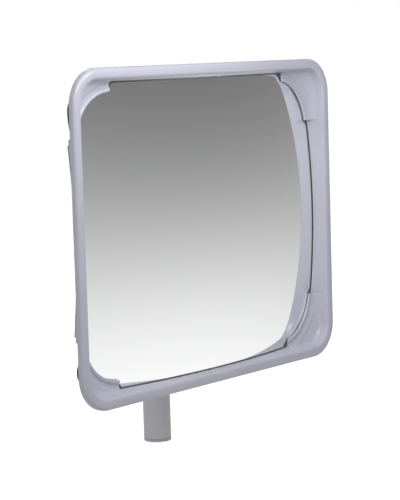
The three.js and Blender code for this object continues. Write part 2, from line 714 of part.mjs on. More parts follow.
function buildHead() {
  const head = new THREE.Group();
  head.position.set(0, -HEAD_REACH, HEAD_CENTRE_Z);
  place(head, { front_frame: frontFrame() }, PLASTIC_GREY);
  place(head, { mirror_pane: mirrorPane() }, MIRROR);
  place(head, { edge_gasket: edgeGasket() }, DARK_RUBBER);
  place(head, { rear_shell: rearShell() }, SHELL_GREY);

  QUARTERS.forEach(([signX, signZ]) => {
    const where = `${signZ > 0 ? 'upper' : 'lower'}_${signX < 0 ? 'left' : 'right'}`;
    const [x, z] = clipScrewPlace(signX, signZ);
    const headFace = (signZ > 0 ? UPPER_CLIP : LOWER_CLIP).hump + GAP;
    const screw = panScrew(CLIP_SCREW_RADIUS, CLIP_SCREW_HEAD, CLIP_SCREW_HEAD_LENGTH,
      [x, headFace + CLIP_SCREW_HEAD_LENGTH, z], [x, CLIP_SCREW_TIP, z]);
    place(head, { [`corner_clip_${where}`]: cornerClip(signX, signZ) }, BLACK_PLASTIC);
    place(head, { [`clip_screw_${where}`]: screw }, ZINC);
  });

  place(head, { tilt_bracket: tiltBracket() }, GALVANISED);
  place(head, {
    spreader_plate: boltPlate(SPREADER_BACK - SPREADER_THICKNESS, SPREADER_BACK),
  }, GALVANISED);
  place(head, bracketBolts(), ZINC);
  place(head, crossBolt('pivot', PIVOT_RADIUS, 0), ZINC);
  place(head, crossBolt('lock', LOCK_BOLT_RADIUS, LOCK_RADIUS), ZINC);
  return head;
}

function buildClamp() {
  const clamp = new THREE.Group();
  clamp.position.set(0, 0, HEAD_CENTRE_Z);
  place(clamp, { clamp_front: clampFront(), clamp_rear: clampHalf(1) }, GALVANISED);
  place(clamp, { clamp_liner_front: linerHalf(-1), clamp_liner_rear: linerHalf(1) }, DARK_RUBBER);
  place(clamp, clampBolts(), ZINC);
  const bushEnd = LUG_INNER_X - GAP;
  const from = [-bushEnd, PIVOT_Y, 0];
  const to = [bushEnd, PIVOT_Y, 0];
  place(clamp, { pivot_bush: washer(PIVOT_RADIUS, BUSH_RADIUS, from, to) }, ZINC);
  return clamp;
}

function buildPost() {
  const post = new THREE.Group();
  const low = FOOT_THICKNESS + GAP;
  const high = POST_TOP - CAP_THICKNESS - GAP;
  place(post, { post_tube: tube(POST_RADIUS - POST_WALL, POST_RADIUS, low, high) }, POST_STEEL);
  place(post, { post_foot: postEnd(0, PLUG_LENGTH, FOOT_THICKNESS) }, BLACK_PLASTIC);
  place(post, {
    post_cap: postEnd(POST_TOP, POST_TOP - PLUG_LENGTH, POST_TOP - CAP_THICKNESS),
  }, BLACK_PLASTIC);
  return post;
}

mirror.add(buildHead(), buildClamp(), buildPost());

export default mirror;
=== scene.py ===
"""Looks of a convex security mirror on a post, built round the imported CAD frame. Metres."""

import math

import bmesh
import bpy
import numpy as np
from mathutils import Matrix, Vector


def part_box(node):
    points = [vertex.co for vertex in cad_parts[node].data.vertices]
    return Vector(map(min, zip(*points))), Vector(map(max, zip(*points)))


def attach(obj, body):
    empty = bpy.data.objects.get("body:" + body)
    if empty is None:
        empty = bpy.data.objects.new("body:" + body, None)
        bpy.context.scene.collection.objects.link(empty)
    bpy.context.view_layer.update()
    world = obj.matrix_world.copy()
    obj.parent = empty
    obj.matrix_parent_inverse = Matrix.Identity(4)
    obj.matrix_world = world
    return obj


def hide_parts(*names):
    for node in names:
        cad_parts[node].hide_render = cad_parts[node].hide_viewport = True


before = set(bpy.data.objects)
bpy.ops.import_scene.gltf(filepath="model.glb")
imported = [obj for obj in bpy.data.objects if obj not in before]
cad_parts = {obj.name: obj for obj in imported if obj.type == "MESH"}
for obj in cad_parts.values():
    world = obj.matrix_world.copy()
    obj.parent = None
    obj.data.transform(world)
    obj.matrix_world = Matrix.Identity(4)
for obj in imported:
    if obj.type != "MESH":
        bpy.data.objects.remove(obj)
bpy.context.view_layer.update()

MM = 0.001

# ---------------------------------------------------------------- sizes, from the frame

RIM_LOW, RIM_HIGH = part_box("front_frame")
HALF_WIDTH = (RIM_HIGH.x - RIM_LOW.x) / 2
HALF_HEIGHT = (RIM_HIGH.z - RIM_LOW.z) / 2
CENTRE_Z = (RIM_HIGH.z + RIM_LOW.z) / 2
CREST_RISE = 5.6 * MM  # the rim's crest stands this far in front of its outer edge
EDGE_Y = RIM_LOW.y + CREST_RISE  # plane of the rim's outer edge; depths are measured behind it

DOME_RADIUS = 1.7
DOME_RISE = EDGE_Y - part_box("mirror_pane")[0].y
PANE_THICKNESS = 2.5 * MM
PANE_INSET = 28.5 * MM
PANE_CORNER_RADIUS = 103 * MM
SEAM = 2.3 * MM  # gap between the pane and the frame, which the gasket lies in

RIM_CORNER_RADIUS = 75 * MM
RIM_WIDTH = 29 * MM  # outer edge to the foot of the inner wall
RIM_WALL = 2.4 * MM
WALL_TOP = (22.8 * MM, 1.5 * MM)  # inset and depth where the crest turns into the inner wall
FILLET_DEPTH = 9.5 * MM  # where the inner wall gives way to a pad's fillet
CORNER_WALL_DEPTH = 29 * MM

PAD_ARC_RADIUS = 96 * MM
PAD_CENTRE = (HALF_WIDTH - 145 * MM, HALF_HEIGHT - 145 * MM)
PAD_END = (HALF_WIDTH - 140 * MM, HALF_HEIGHT - 140 * MM)
QUARTERS = ((1, 1), (-1, 1), (-1, -1), (1, -1))
CORNERS = ("upper_left", "upper_right", "lower_left", "lower_right")

M8, M10, M12 = 4 * MM, 5 * MM, 6 * MM  # radii of the bolts


def dome_depth(x, z):
    """Depth of the mirror's front surface behind the rim's outer edge plane."""
    return DOME_RADIUS - np.sqrt(DOME_RADIUS**2 - x * x - z * z) - DOME_RISE


def head_points(x, depth, z):
    """Places on the head, given from its centre, as an array of points in the frame."""
    x, depth, z = np.broadcast_arrays(x, depth, z)
    return np.stack([x, EDGE_Y + depth, CENTRE_Z + z], axis=-1)


# ---------------------------------------------------------------- curves and meshes

def smooth_curve(points, steps):
    """A Catmull-Rom curve through the points, with a number of steps between each pair."""
    points = np.array(points, float)
    padded = np.vstack([2 * points[0] - points[1], points, 2 * points[-1] - points[-2]])
    curve = []
    for i in range(1, len(padded) - 2):
        before, start, end, after = padded[i - 1:i + 3]
        for t in np.linspace(0, 1, steps, endpoint=False):
            curve.append(0.5 * (2 * start + (end - before) * t
                                + (2 * before - 5 * start + 4 * end - after) * t**2
                                + (3 * start - before - 3 * end + after) * t**3))
    curve.append(points[-1])
    return np.array(curve)


def mesh_object(name, vertices, faces, material, smooth_angle=35):
    """A mesh piece with its normals turned outwards, smooth where its faces meet gently."""
    mesh = bpy.data.meshes.new(name)
    mesh.from_pydata([tuple(v) for v in vertices], [], [tuple(f) for f in faces])
    tidy = bmesh.new()
    tidy.from_mesh(mesh)
    bmesh.ops.remove_doubles(tidy, verts=tidy.verts, dist=2e-6)
    bmesh.ops.dissolve_degenerate(tidy, edges=tidy.edges, dist=1e-6)
    bmesh.ops.recalc_face_normals(tidy, faces=tidy.faces)
    tidy.to_mesh(mesh)
    tidy.free()
    mesh.polygons.foreach_set("use_smooth", [True] * len(mesh.polygons))
    mesh.set_sharp_from_angle(angle=math.radians(smooth_angle))
    mesh.materials.append(material)
    piece = bpy.data.objects.new(name, mesh)
    bpy.context.scene.collection.objects.link(piece)
    return piece


def ring_faces(rings, count, closed):
    """Quads between rings of count points. closed joins the last ring to the first."""
    faces = []
    for band in range(rings if closed else rings - 1):
        here, there = band * count, (band + 1) % rings * count
        for i in range(count):
            j = (i + 1) % count
            faces.append((here + i, here + j, there + j, there + i))
    return faces


def ring_mesh(name, rings, material, closed=True, smooth_angle=35):
    """Skins rings of equal size. If the stack isn't closed, each end is a single face."""
    rings = np.array(rings, float)
    total, count = rings.shape[:2]
    faces = ring_faces(total, count, closed)
    if not closed:
        faces.append(tuple(range(count)))
        faces.append(tuple(range((total - 1) * count, total * count)))
    return mesh_object(name, rings.reshape(-1, 3), faces, material, smooth_angle)


def place_piece(piece, body, slot, *nodes):
    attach(piece, body)
    if nodes:
        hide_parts(*nodes)
    return piece


# ---------------------------------------------------------------- materials

class Nodes:
    """Short forms for building one material's node tree."""

    def __init__(self, name, base, roughness, metallic=0.0):
        self.material = bpy.data.materials.new(name)
        self.material.use_nodes = True
        self.tree = self.material.node_tree
        self.shader = self.tree.nodes["Principled BSDF"]
        self.shader.inputs["Base Color"].default_value = (*base, 1)
        self.shader.inputs["Roughness"].default_value = roughness
        self.shader.inputs["Metallic"].default_value = metallic
        self.base = base
        self.place = self.add("ShaderNodeTexCoord").outputs["Object"]

    def add(self, kind, **settings):
        node = self.tree.nodes.new(kind)
        for key, value in settings.items():
            setattr(node, key, value)
        return node

    def link(self, source, target):
        self.tree.links.new(source, target)

    def noise(self, scale, detail=3.0, stretch=None):
        node = self.add("ShaderNodeTexNoise")
        node.inputs["Scale"].default_value = scale
        node.inputs["Detail"].default_value = detail
        source = self.place
        if stretch:
            mapping = self.add("ShaderNodeMapping")
            mapping.inputs["Scale"].default_value = stretch
            self.link(source, mapping.inputs["Vector"])
            source = mapping.outputs["Vector"]
        self.link(source, node.inputs["Vector"])
        return node.outputs["Fac"]

    def cells(self, scale):
        node = self.add("ShaderNodeTexVoronoi")
        node.inputs["Scale"].default_value = scale
        self.link(self.place, node.inputs["Vector"])
        return node

    def spread(self, source, low, high):
        """Maps the middle of a noise onto low to high."""
        node = self.add("ShaderNodeMapRange")
        node.inputs["From Min"].default_value = 0.3
        node.inputs["From Max"].default_value = 0.7
        node.inputs["To Min"].default_value = low
        node.inputs["To Max"].default_value = high
        self.link(source, node.inputs["Value"])
        return node.outputs["Result"]

    def tint(self, source, darkest, lightest=1.0):
        """The base colour, multiplied by darkest to lightest as the source goes up."""
        node = self.add("ShaderNodeMix", data_type="RGBA")
        node.inputs["A"].default_value = (*[c * darkest for c in self.base], 1)
        node.inputs["B"].default_value = (*[min(c * lightest, 1) for c in self.base], 1)
        self.link(self.spread(source, 0, 1), node.inputs["Factor"])
        self.link(node.outputs["Result"], self.shader.inputs["Base Color"])
        return node

    def rough(self, source, low, high):
        self.link(self.spread(source, low, high), self.shader.inputs["Roughness"])

    def bump(self, source, height, strength=1.0, under=None):
        """Bump of a height in metres. under is another bump's output, which it is laid on."""
        node = self.add("ShaderNodeBump")
        node.inputs["Strength"].default_value = strength
        node.inputs["Distance"].default_value = height
        self.link(source, node.inputs["Height"])
        if under is not None:
            self.link(under, node.inputs["Normal"])
        self.link(node.outputs["Normal"], self.shader.inputs["Normal"])
        return node.outputs["Normal"]


def moulded_plastic():
    """Satin light lavender-grey moulding: faint clouding, fine grain and a soft gloss."""
    nodes = Nodes("frame_plastic", (0.565, 0.57, 0.66), 0.36)
    nodes.tint(nodes.noise(9, 4), 0.965, 1.03)
    nodes.rough(nodes.noise(60, 3), 0.32, 0.42)
    waves = nodes.bump(nodes.noise(22, 2), 0.25 * MM, 0.25)
    nodes.bump(nodes.noise(2600, 2), 0.02 * MM, 0.35, waves)
    nodes.shader.inputs["Coat Weight"].default_value = 0.36
    nodes.shader.inputs["Coat Roughness"].default_value = 0.16
    return nodes.material


def mirror_finish():
    """Silvered acrylic: almost perfect, with a trace of haze and of waviness."""
    nodes = Nodes("mirror_face", (0.985, 0.987, 0.99), 0.004, 1.0)
    nodes.rough(nodes.noise(14, 4), 0.0, 0.012)
    nodes.bump(nodes.noise(5, 1), 0.05 * MM, 0.12)
    return nodes.material


def dark_rubber(name):
    nodes = Nodes(name, (0.12, 0.12, 0.128), 0.72)
    nodes.tint(nodes.noise(120, 3), 0.8, 1.35)
    nodes.rough(nodes.noise(300, 2), 0.62, 0.82)
    nodes.bump(nodes.noise(1800, 2), 0.04 * MM, 0.5)
    return nodes.material


def shell_plastic():
    """Vacuum-formed back: duller than the frame, with a leathery grain."""
    nodes = Nodes("shell_plastic", (0.50, 0.50, 0.565), 0.5)
    nodes.tint(nodes.noise(6, 4), 0.93, 1.04)
    nodes.rough(nodes.noise(40, 3), 0.48, 0.62)
    broad = nodes.bump(nodes.noise(30, 2), 0.3 * MM, 0.2)
    nodes.bump(nodes.cells(900).outputs["Distance"], 0.06 * MM, 0.35, broad)
    return nodes.material


def black_plastic(name):
    nodes = Nodes(name, (0.018, 0.018, 0.02), 0.45)
    nodes.tint(nodes.noise(50, 3), 0.85, 1.4)
    nodes.rough(nodes.noise(200, 2), 0.38, 0.55)
    nodes.bump(nodes.noise(1500, 3), 0.04 * MM, 0.5)
    return nodes.material


def plug_plastic():
    """Grey moulded ends, a shade off the post's own coat."""
    nodes = Nodes("end_plugs", (0.61, 0.605, 0.63), 0.5)
    nodes.tint(nodes.noise(40, 3), 0.94, 1.05)
    nodes.rough(nodes.noise(160, 2), 0.42, 0.6)
    nodes.bump(nodes.noise(1400, 2), 0.03 * MM, 0.4)
    return nodes.material


def galvanised_steel():
    """Hot-dip zinc: flat crystals of slightly different greys, and a soft sheen."""
    nodes = Nodes("galvanised_steel", (0.43, 0.44, 0.455), 0.42, 0.9)
    cells = nodes.cells(110)
    split = nodes.add("ShaderNodeSeparateColor")
    nodes.link(cells.outputs["Color"], split.inputs["Color"])
    nodes.tint(split.outputs["Red"], 0.82, 1.16)
    nodes.rough(split.outputs["Green"], 0.32, 0.52)
    grain = nodes.bump(nodes.noise(700, 3), 0.03 * MM, 0.3)
    nodes.bump(cells.outputs["Distance"], 0.08 * MM, 0.12, grain)
    return nodes.material


def zinc_plate():
    nodes = Nodes("zinc_fasteners", (0.62, 0.615, 0.60), 0.28, 1.0)
    nodes.tint(nodes.noise(180, 3), 0.86, 1.08)
    nodes.rough(nodes.noise(420, 2), 0.22, 0.38)
    nodes.bump(nodes.noise(900, 2), 0.02 * MM, 0.3)
    return nodes.material


def post_coat():
    """Matte grey powder coat on the tube: orange peel and faint streaks along it."""
    nodes = Nodes("post_steel", (0.66, 0.655, 0.68), 0.5, 0.25)
    nodes.tint(nodes.noise(20, 4, (1, 1, 0.06)), 0.94, 1.05)
    nodes.rough(nodes.noise(90, 2), 0.44, 0.58)
    nodes.bump(nodes.noise(520, 2), 0.06 * MM, 0.35)
    return nodes.material


FRAME_PLASTIC = moulded_plastic()
MIRROR_FACE = mirror_finish()
GASKET_RUBBER = dark_rubber("gasket_rubber")
CLAMP_RUBBER = dark_rubber("clamp_rubber")
SHELL_PLASTIC = shell_plastic()
CLIP_PLASTIC = black_plastic("clip_plastic")
END_PLUGS = plug_plastic()
GALVANISED = galvanised_steel()
ZINC = zinc_plate()
POST_COAT = post_coat()

# ---------------------------------------------------------------- front frame

# The rim's section from its rear outer edge over the crest to the inner wall: inset and depth.
RIM_FRONT = smooth_curve([(0, 9), (0, 4.5), (0, 1), (1.2, -2.4), (4.5, -4.6), (11, -5.6),
                          (17.5, -4.6), (21.2, -2.2), (22.8, 1.5)], 5) * MM
RIM_BACK = smooth_curve([(20.4, 2.5), (18.5, -1), (11, -2.6), (4.5, -1.5), (3, 1.5),
                         (3, 5), (3, 9)], 4) * MM
FILLET_RADIUS = 7 * MM  # between a pad's web and the rim's inner wall
# The section across a pad's bead: distance out from the arc, and thickness over the pane.
BEAD = smooth_curve([(10, 3.2), (7, 5.2), (4, 5.8), (1.4, 4.6), (0.2, 2), (0.4, 0)], 4) * MM
WEB_THICKNESS = 3.2 * MM
WEB_ROOT = 9 * MM
PAD_END_FULLNESS = 0.72  # a pad thins down at its two ends, which softens their edges
FOOT_ROUNDING = 0.8 * MM  # of the inner wall's foot, where it meets the pane
RIDGE = (23 * MM, 4 * MM, 1.9 * MM)  # along a pad's web: distance from the arc, width and height
GROOVE = (15 * MM, 3 * MM, 1.0 * MM)
RELIEF_START = 12 * MM  # the web's relief fades in over this distance from the inner wall
SECTION_REACH = 60 * MM  # a plain section is drawn along a line this long
WALL_STEPS, FILLET_STEPS, WEB_STEPS, UNDER_STEPS = 8, 8, 22, 8  # points across the frame
SIDE_STEPS, PAD_STEPS, TOP_STEPS = 40, 90, 50  # sections along a quarter of it


def rim_inset(x, z):
    """How far a place on the head lies inside the rim's outline."""
    across = np.abs(x) - (HALF_WIDTH - RIM_CORNER_RADIUS)
    up = np.abs(z) - (HALF_HEIGHT - RIM_CORNER_RADIUS)
    outside = np.hypot(np.maximum(across, 0), np.maximum(up, 0))
    return RIM_CORNER_RADIUS - outside - np.minimum(np.maximum(across, up), 0)


def place_at_inset(outer, inner, insets):
    """Places on the line from an outline point inwards that have the given insets."""
    share = np.linspace(0, 1, 400)
    line = np.array(outer)[None] * (1 - share[:, None]) + np.array(inner)[None] * share[:, None]
    found = np.interp(insets, rim_inset(line[:, 0], line[:, 1]), share)
    return np.array(outer)[None] * (1 - found[:, None]) + np.array(inner)[None] * found[:, None]


def web_relief(from_arc):
    """How far a pad's web stands up at a distance from its arc: a groove, then a low ridge."""
    ridge, groove = (height * np.exp(-((from_arc - place) / width) ** 2)
                     for place, width, height in (RIDGE, GROOVE))
    return ridge - groove


def wall_inset(depth, foot_depth):
    top_inset, top_depth = WALL_TOP
    return top_inset + (RIM_WIDTH - top_inset) * (depth - top_depth) / (foot_depth - top_depth)


def plain_section(outer, inner):
    """The frame's section where no pad is: the inner wall runs down to the pane."""
    foot_place = place_at_inset(outer, inner, [RIM_WIDTH])[0]
    foot = dome_depth(*foot_place) - SEAM
    upper = np.linspace(WALL_TOP[1], FILLET_DEPTH, WALL_STEPS + 1)[1:]
    share = 1 - (1 - np.linspace(0, 1, FILLET_STEPS + WEB_STEPS + len(BEAD) + 1)[1:]) ** 3
    depths = np.concatenate([upper, FILLET_DEPTH + (foot - FILLET_DEPTH) * share])
    into_foot = np.maximum(depths - (foot - FOOT_ROUNDING), 0)
    rolled = FOOT_ROUNDING - np.sqrt(np.maximum(FOOT_ROUNDING**2 - into_foot**2, 0))
    wall = wall_inset(depths, foot) - rolled
    under = np.linspace(RIM_WIDTH - FOOT_ROUNDING, RIM_WIDTH - RIM_WALL, UNDER_STEPS)
    insets = np.concatenate([RIM_FRONT[:, 0], wall, under, RIM_BACK[:, 0]])
    depths = np.concatenate([RIM_FRONT[:, 1], depths, np.full(UNDER_STEPS, foot), RIM_BACK[:, 1]])
    places = place_at_inset(outer, inner, insets)
    return head_points(places[:, 0], depths, places[:, 1])


def pad_section(outer, arc_angle, fullness=1.0):
    """The frame's section through a pad: wall, fillet, web and the bead over the pane."""
    direction = np.array([math.cos(arc_angle), math.sin(arc_angle)])
    centre = np.array(PAD_CENTRE)
    inner = centre + direction * PAD_ARC_RADIUS
    bead_places = centre + direction * (PAD_ARC_RADIUS + BEAD[:, :1])
    over_pane = dome_depth(bead_places[:, 0], bead_places[:, 1]) - SEAM
    bead_depths = over_pane - BEAD[:, 1] * fullness

    wall = np.linspace(WALL_TOP[1], FILLET_DEPTH, WALL_STEPS + 1)[1:]
    wall_places = place_at_inset(outer, inner, wall_inset(wall, CORNER_WALL_DEPTH))
    start = wall_places[-1]
    bead_start = bead_places[0]
    length = np.linalg.norm(bead_start - start)

    turn = np.linspace(math.pi / 2, 0, FILLET_STEPS + 1)[1:]
    reach = np.concatenate([
        FILLET_RADIUS * (1 - np.sin(turn)),
        np.linspace(FILLET_RADIUS, length, WEB_STEPS + 1)[1:],
    ])
    rise = np.concatenate([FILLET_RADIUS * (1 - np.cos(turn)), np.zeros(WEB_STEPS)])
    outwards = 1 - reach / length
    under = over_pane[0] + (CORNER_WALL_DEPTH - over_pane[0]) * outwards
    relief = web_relief(length - reach + BEAD[0, 0]) * np.minimum(1, reach / RELIEF_START)
    web_depths = under - (WEB_THICKNESS + WEB_ROOT * outwards**2 + relief) * fullness - rise
    web_places = start + (bead_start - start) * (reach / length)[:, None]

    share = np.linspace(0, 1, UNDER_STEPS)
    heel = place_at_inset(outer, inner, [RIM_WIDTH - RIM_WALL])[0]
    under_places = bead_places[-1] + (heel - bead_places[-1]) * share[:, None]
    under_depths = over_pane[-1] + (CORNER_WALL_DEPTH - over_pane[-1]) * share
    front_places = place_at_inset(outer, inner, RIM_FRONT[:, 0])
    back_places = place_at_inset(outer, inner, RIM_BACK[:, 0])
    places = np.vstack([front_places, wall_places, web_places,
                        bead_places, under_places, back_places])
    depths = np.concatenate([RIM_FRONT[:, 1], wall, web_depths,
                             bead_depths, under_depths, RIM_BACK[:, 1]])
    return head_points(places[:, 0], depths, places[:, 1])


def pad_stations(count):
    """Outline points round a corner from one leg's end to the other, with their arc angles."""
    corner = np.array([HALF_WIDTH - RIM_CORNER_RADIUS, HALF_HEIGHT - RIM_CORNER_RADIUS])
    straight_side = corner[1] - PAD_END[1]
    straight_top = corner[0] - PAD_END[0]
    arc = RIM_CORNER_RADIUS * math.pi / 2
    total = straight_side + arc + straight_top
    first = math.asin((PAD_END[1] - PAD_CENTRE[1]) / PAD_ARC_RADIUS)
    last = math.acos((PAD_END[0] - PAD_CENTRE[0]) / PAD_ARC_RADIUS)
    stations = []
    for share in np.linspace(0, 1, count):
        run = share * total
        if run < straight_side:
            outer = (HALF_WIDTH, PAD_END[1] + run)
        elif run < straight_side + arc:
            angle = (run - straight_side) / RIM_CORNER_RADIUS
            outer = (corner[0] + RIM_CORNER_RADIUS * math.cos(angle),
                     corner[1] + RIM_CORNER_RADIUS * math.sin(angle))
        else:
            outer = (corner[0] - (run - straight_side - arc), HALF_HEIGHT)
        stations.append((outer, first + (last - first) * share))
    return stations


def quarter_sections():
    """Sections of the frame over one quarter, from the +x axis to the +z axis."""
    sections = []
    for z in np.linspace(0, PAD_END[1], SIDE_STEPS):
        sections.append(plain_section((HALF_WIDTH, z), (HALF_WIDTH - SECTION_REACH, z)))
    stations = pad_stations(PAD_STEPS)
    last = len(stations) - 1
    for i, station in enumerate(stations):
        sections.append(pad_section(*station, fullness=PAD_END_FULLNESS if i in (0, last) else 1))
    for x in np.linspace(PAD_END[0], 0, TOP_STEPS):
        sections.append(plain_section((x, HALF_HEIGHT), (x, HALF_HEIGHT - SECTION_REACH)))
    return np.array(sections)


def four_quarters(quarter):
    """Repeats a quarter of sections, from the +x axis to the +z axis, round the whole head."""
    whole = []
    for sign_x, sign_z in QUARTERS:
        part = quarter.copy()
        part[..., 0] *= sign_x
        part[..., 2] = CENTRE_Z + (part[..., 2] - CENTRE_Z) * sign_z
        if sign_x * sign_z < 0:
            part = part[::-1]
        whole.append(part[:-1])
    return np.vstack(whole)


def build_front_frame():
    piece = ring_mesh("frame_moulding", four_quarters(quarter_sections()), FRAME_PLASTIC)
    return place_piece(piece, "mirror_head", "frame_plastic", "front_frame")


# ---------------------------------------------------------------- pane, gasket and shell

def pane_outline(grow, lap=-12 * MM, arc_start=3.0):
    """The pane's outline grown by a margin, over one quarter, as x and z from the centre.

    Its straight sides stop a lap past the pad's end, and its arc starts some degrees in.
    """
    x = HALF_WIDTH - PANE_INSET + grow
    z = HALF_HEIGHT - PANE_INSET + grow
    radius = PANE_CORNER_RADIUS + grow
    angles = np.radians(np.linspace(arc_start, 90 - arc_start, 48))
    side = [(x, height) for height in np.linspace(0, PAD_END[1] + lap, SIDE_STEPS)]
    arc = [(PAD_CENTRE[0] + radius * math.cos(a), PAD_CENTRE[1] + radius * math.sin(a))
           for a in angles]
    top = [(width, z) for width in np.linspace(PAD_END[0] + lap, 0, TOP_STEPS)]
    return np.array(side + arc + top)


def outline_ring(outline, depth):
    """A whole ring of points from a quarter outline. depth is a function of x and z."""
    quarter = head_points(outline[:, 0], depth(outline[:, 0], outline[:, 1]), outline[:, 1])
    return four_quarters(quarter[:, None, :])[:, 0]


def behind_dome(grow, extra):
    return outline_ring(pane_outline(grow), lambda x, z: dome_depth(x, z) + extra)


def build_pane():
    """The domed pane: a smooth front, a back behind it and a ground edge between them."""
    edge = pane_outline(0)
    chamfer = 0.4 * MM
    inner = pane_outline(-chamfer)
    scales = np.linspace(1, 0.02, 60)
    front = [outline_ring(inner * s, dome_depth) for s in scales]
    rim = [
        outline_ring(edge, lambda x, z: dome_depth(x, z) + PANE_THICKNESS),
        outline_ring(edge, lambda x, z: dome_depth(x, z) + chamfer),
    ]
    back = [outline_ring(edge * s, lambda x, z: dome_depth(x, z) + PANE_THICKNESS)
            for s in scales[:0:-1]]
    piece = ring_mesh("mirror_glass", back + rim + front, MIRROR_FACE, closed=False)
    return place_piece(piece, "mirror_head", "mirror_face", "mirror_pane")


# The inner edge reaches far in, so the dark rubber lip also paints the seam's shade: partly real
# gasket, partly painted shade.
GASKET_EDGES = (-2.75 * MM, -0.1 * MM)  # inner and outer, from the pane's edge
GASKET_GAP = 0.3 * MM  # to the pane and to the frame


def build_gasket():
    """A flat lip of rubber between the rim and the pane, with a rounded inner edge. Its dark lip is
    partly the real gasket and partly painted shade standing in for the shadow in the seam.
    """
    inner, outer = GASKET_EDGES
    middle = -SEAM / 2
    half = SEAM / 2 - GASKET_GAP
    section = [(inner, middle), (inner + 0.3 * half, middle - 0.7 * half),
               (inner + half, middle - half), (outer, middle - half),
               (outer, middle + half), (inner + half, middle + half),
               (inner + 0.3 * half, middle + 0.7 * half)]
    rings = []
    for grow, extra in section:
        if grow == outer:
            outline = pane_outline(grow, lap=-1 * MM, arc_start=8.0)
        else:
            outline = pane_outline(grow)
        rings.append(outline_ring(outline, lambda x, z, e=extra: dome_depth(x, z) + e))
    piece = ring_mesh("pane_gasket", rings, GASKET_RUBBER)
    return place_piece(piece, "mirror_head", "gasket_rubber", "edge_gasket")


# The shell's section, in millimetres. Each point grows the pane's outline, and has a share of
# the dome's depth and a depth added to it.
SHELL_WALL = 2.8
SHELL_BACK = (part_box("rear_shell")[1].y - EDGE_Y) / MM
SHELL_INSIDE = SHELL_BACK - SHELL_WALL
SHELL_LEDGE = 2.8
SHELL_INNER = [(-92, 0, SHELL_INSIDE), (-64, 0, SHELL_INSIDE - 4), (-15, 1, 9.4),
               (-6, 1, SHELL_LEDGE + 1.4), (-5, 1, SHELL_LEDGE)]
SHELL_LIP = [(-5, 1, SHELL_LEDGE), (0.3, 1, SHELL_LEDGE), (0.3, 1, 0.2), (1.6, 1, 0.2)]
SHELL_OUTER = [(1.6, 1, 0.2), (1.6, 1, 2.4), (-4, 1, 6.2), (-16, 1, 12.4),
               (-66, 0, SHELL_BACK - 4), (-94, 0, SHELL_BACK)]


# The ribs pressed into the shell's back run from here, in the head's middle, to near its corners.
RIB_START = np.array([100, 85]) * MM
RIB_END = np.array([HALF_WIDTH - 180 * MM, HALF_HEIGHT - 170 * MM])
RIB_DEPTH = 2.4 * MM
RIB_HALF_WIDTH = 9 * MM


def rounded(points, rounds=3):
    """Cuts a line's corners again and again, which keeps it inside the line it started as."""
    points = np.array(points, float)
    for _ in range(rounds):
        near = points[:-1] * 0.75 + points[1:] * 0.25
        far = points[:-1] * 0.25 + points[1:] * 0.75
        between = np.stack([near, far], axis=1).reshape(-1, points.shape[1])
        points = np.vstack([points[:1], between, points[-1:]])
    return points


def shell_rib(x, z):
    """How far the shell's back is pressed in at a place: four ribs run out to the corners."""
    pressed = np.zeros_like(x)
    for quarter in QUARTERS:
        start = RIB_START * quarter
        along = RIB_END * quarter - start
        share = ((x - start[0]) * along[0] + (z - start[1]) * along[1]) / (along @ along)
        share = np.clip(share, 0, 1)
        away = np.hypot(x - start[0] - along[0] * share, z - start[1] - along[1] * share)
        pressed = np.maximum(pressed, RIB_DEPTH / (1 + (away / RIB_HALF_WIDTH) ** 4))
    return pressed


def shell_ring(grow, dome_share, extra):
    return outline_ring(pane_outline(grow * MM), lambda x, z: (
        dome_depth(x, z) * dome_share + extra * MM))


def shell_flat(grow, depth):
    """Rings that close one face of the shell's flat middle, with its ribs, edge first."""
    outline = pane_outline(grow * MM)
    return [outline_ring(outline * scale, lambda x, z: depth * MM - shell_rib(x, z))
            for scale in np.linspace(1, 0.02, 70)[1:]]


def build_shell():
    """The dished back: a smooth section all round, closed inside and outside by flat faces."""
    rings = shell_flat(SHELL_INNER[0][0], SHELL_INSIDE)[::-1]
    rings += [shell_ring(*point) for point in rounded(SHELL_INNER)]
    rings += [shell_ring(*point) for point in SHELL_LIP[1:]]
    rings += [shell_ring(*point) for point in rounded(SHELL_OUTER)[1:]]
    rings += shell_flat(SHELL_OUTER[-1][0], SHELL_BACK)
    piece = ring_mesh("back_shell", rings, SHELL_PLASTIC, closed=False)
    return place_piece(piece, "mirror_head", "shell_plastic", "rear_shell")


# ---------------------------------------------------------------- cut and folded pieces

SHEET_EDGE = 0.6 * MM  # how wide the edges of sheet pieces are rounded
CAST_EDGE = 0.9 * MM


def softened(name, node, material, width=SHEET_EDGE):
    """A copy of a CAD piece with its flat faces joined and all of its sharp edges rounded."""
    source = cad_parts[node]
    piece_mesh = bmesh.new()
    piece_mesh.from_mesh(source.data)
    piece_mesh.transform(source.matrix_world)
    bmesh.ops.remove_doubles(piece_mesh, verts=piece_mesh.verts, dist=2e-6)
    bmesh.ops.dissolve_limit(piece_mesh, angle_limit=math.radians(1),
                             verts=piece_mesh.verts, edges=piece_mesh.edges)
    sharp = [edge for edge in piece_mesh.edges if edge.calc_face_angle(0) > math.radians(25)]
    bmesh.ops.bevel(piece_mesh, geom=sharp, offset=width, segments=3, profile=0.5,
                    affect="EDGES", clamp_overlap=True)
    bmesh.ops.triangulate(piece_mesh, faces=piece_mesh.faces)
    mesh = bpy.data.meshes.new(name)
    piece_mesh.to_mesh(mesh)
    piece_mesh.free()
    mesh.polygons.foreach_set("use_smooth", [True] * len(mesh.polygons))
    mesh.set_sharp_from_angle(angle=math.radians(40))
    mesh.materials.append(material)
    piece = bpy.data.objects.new(name, mesh)
    bpy.context.scene.collection.objects.link(piece)
    return piece


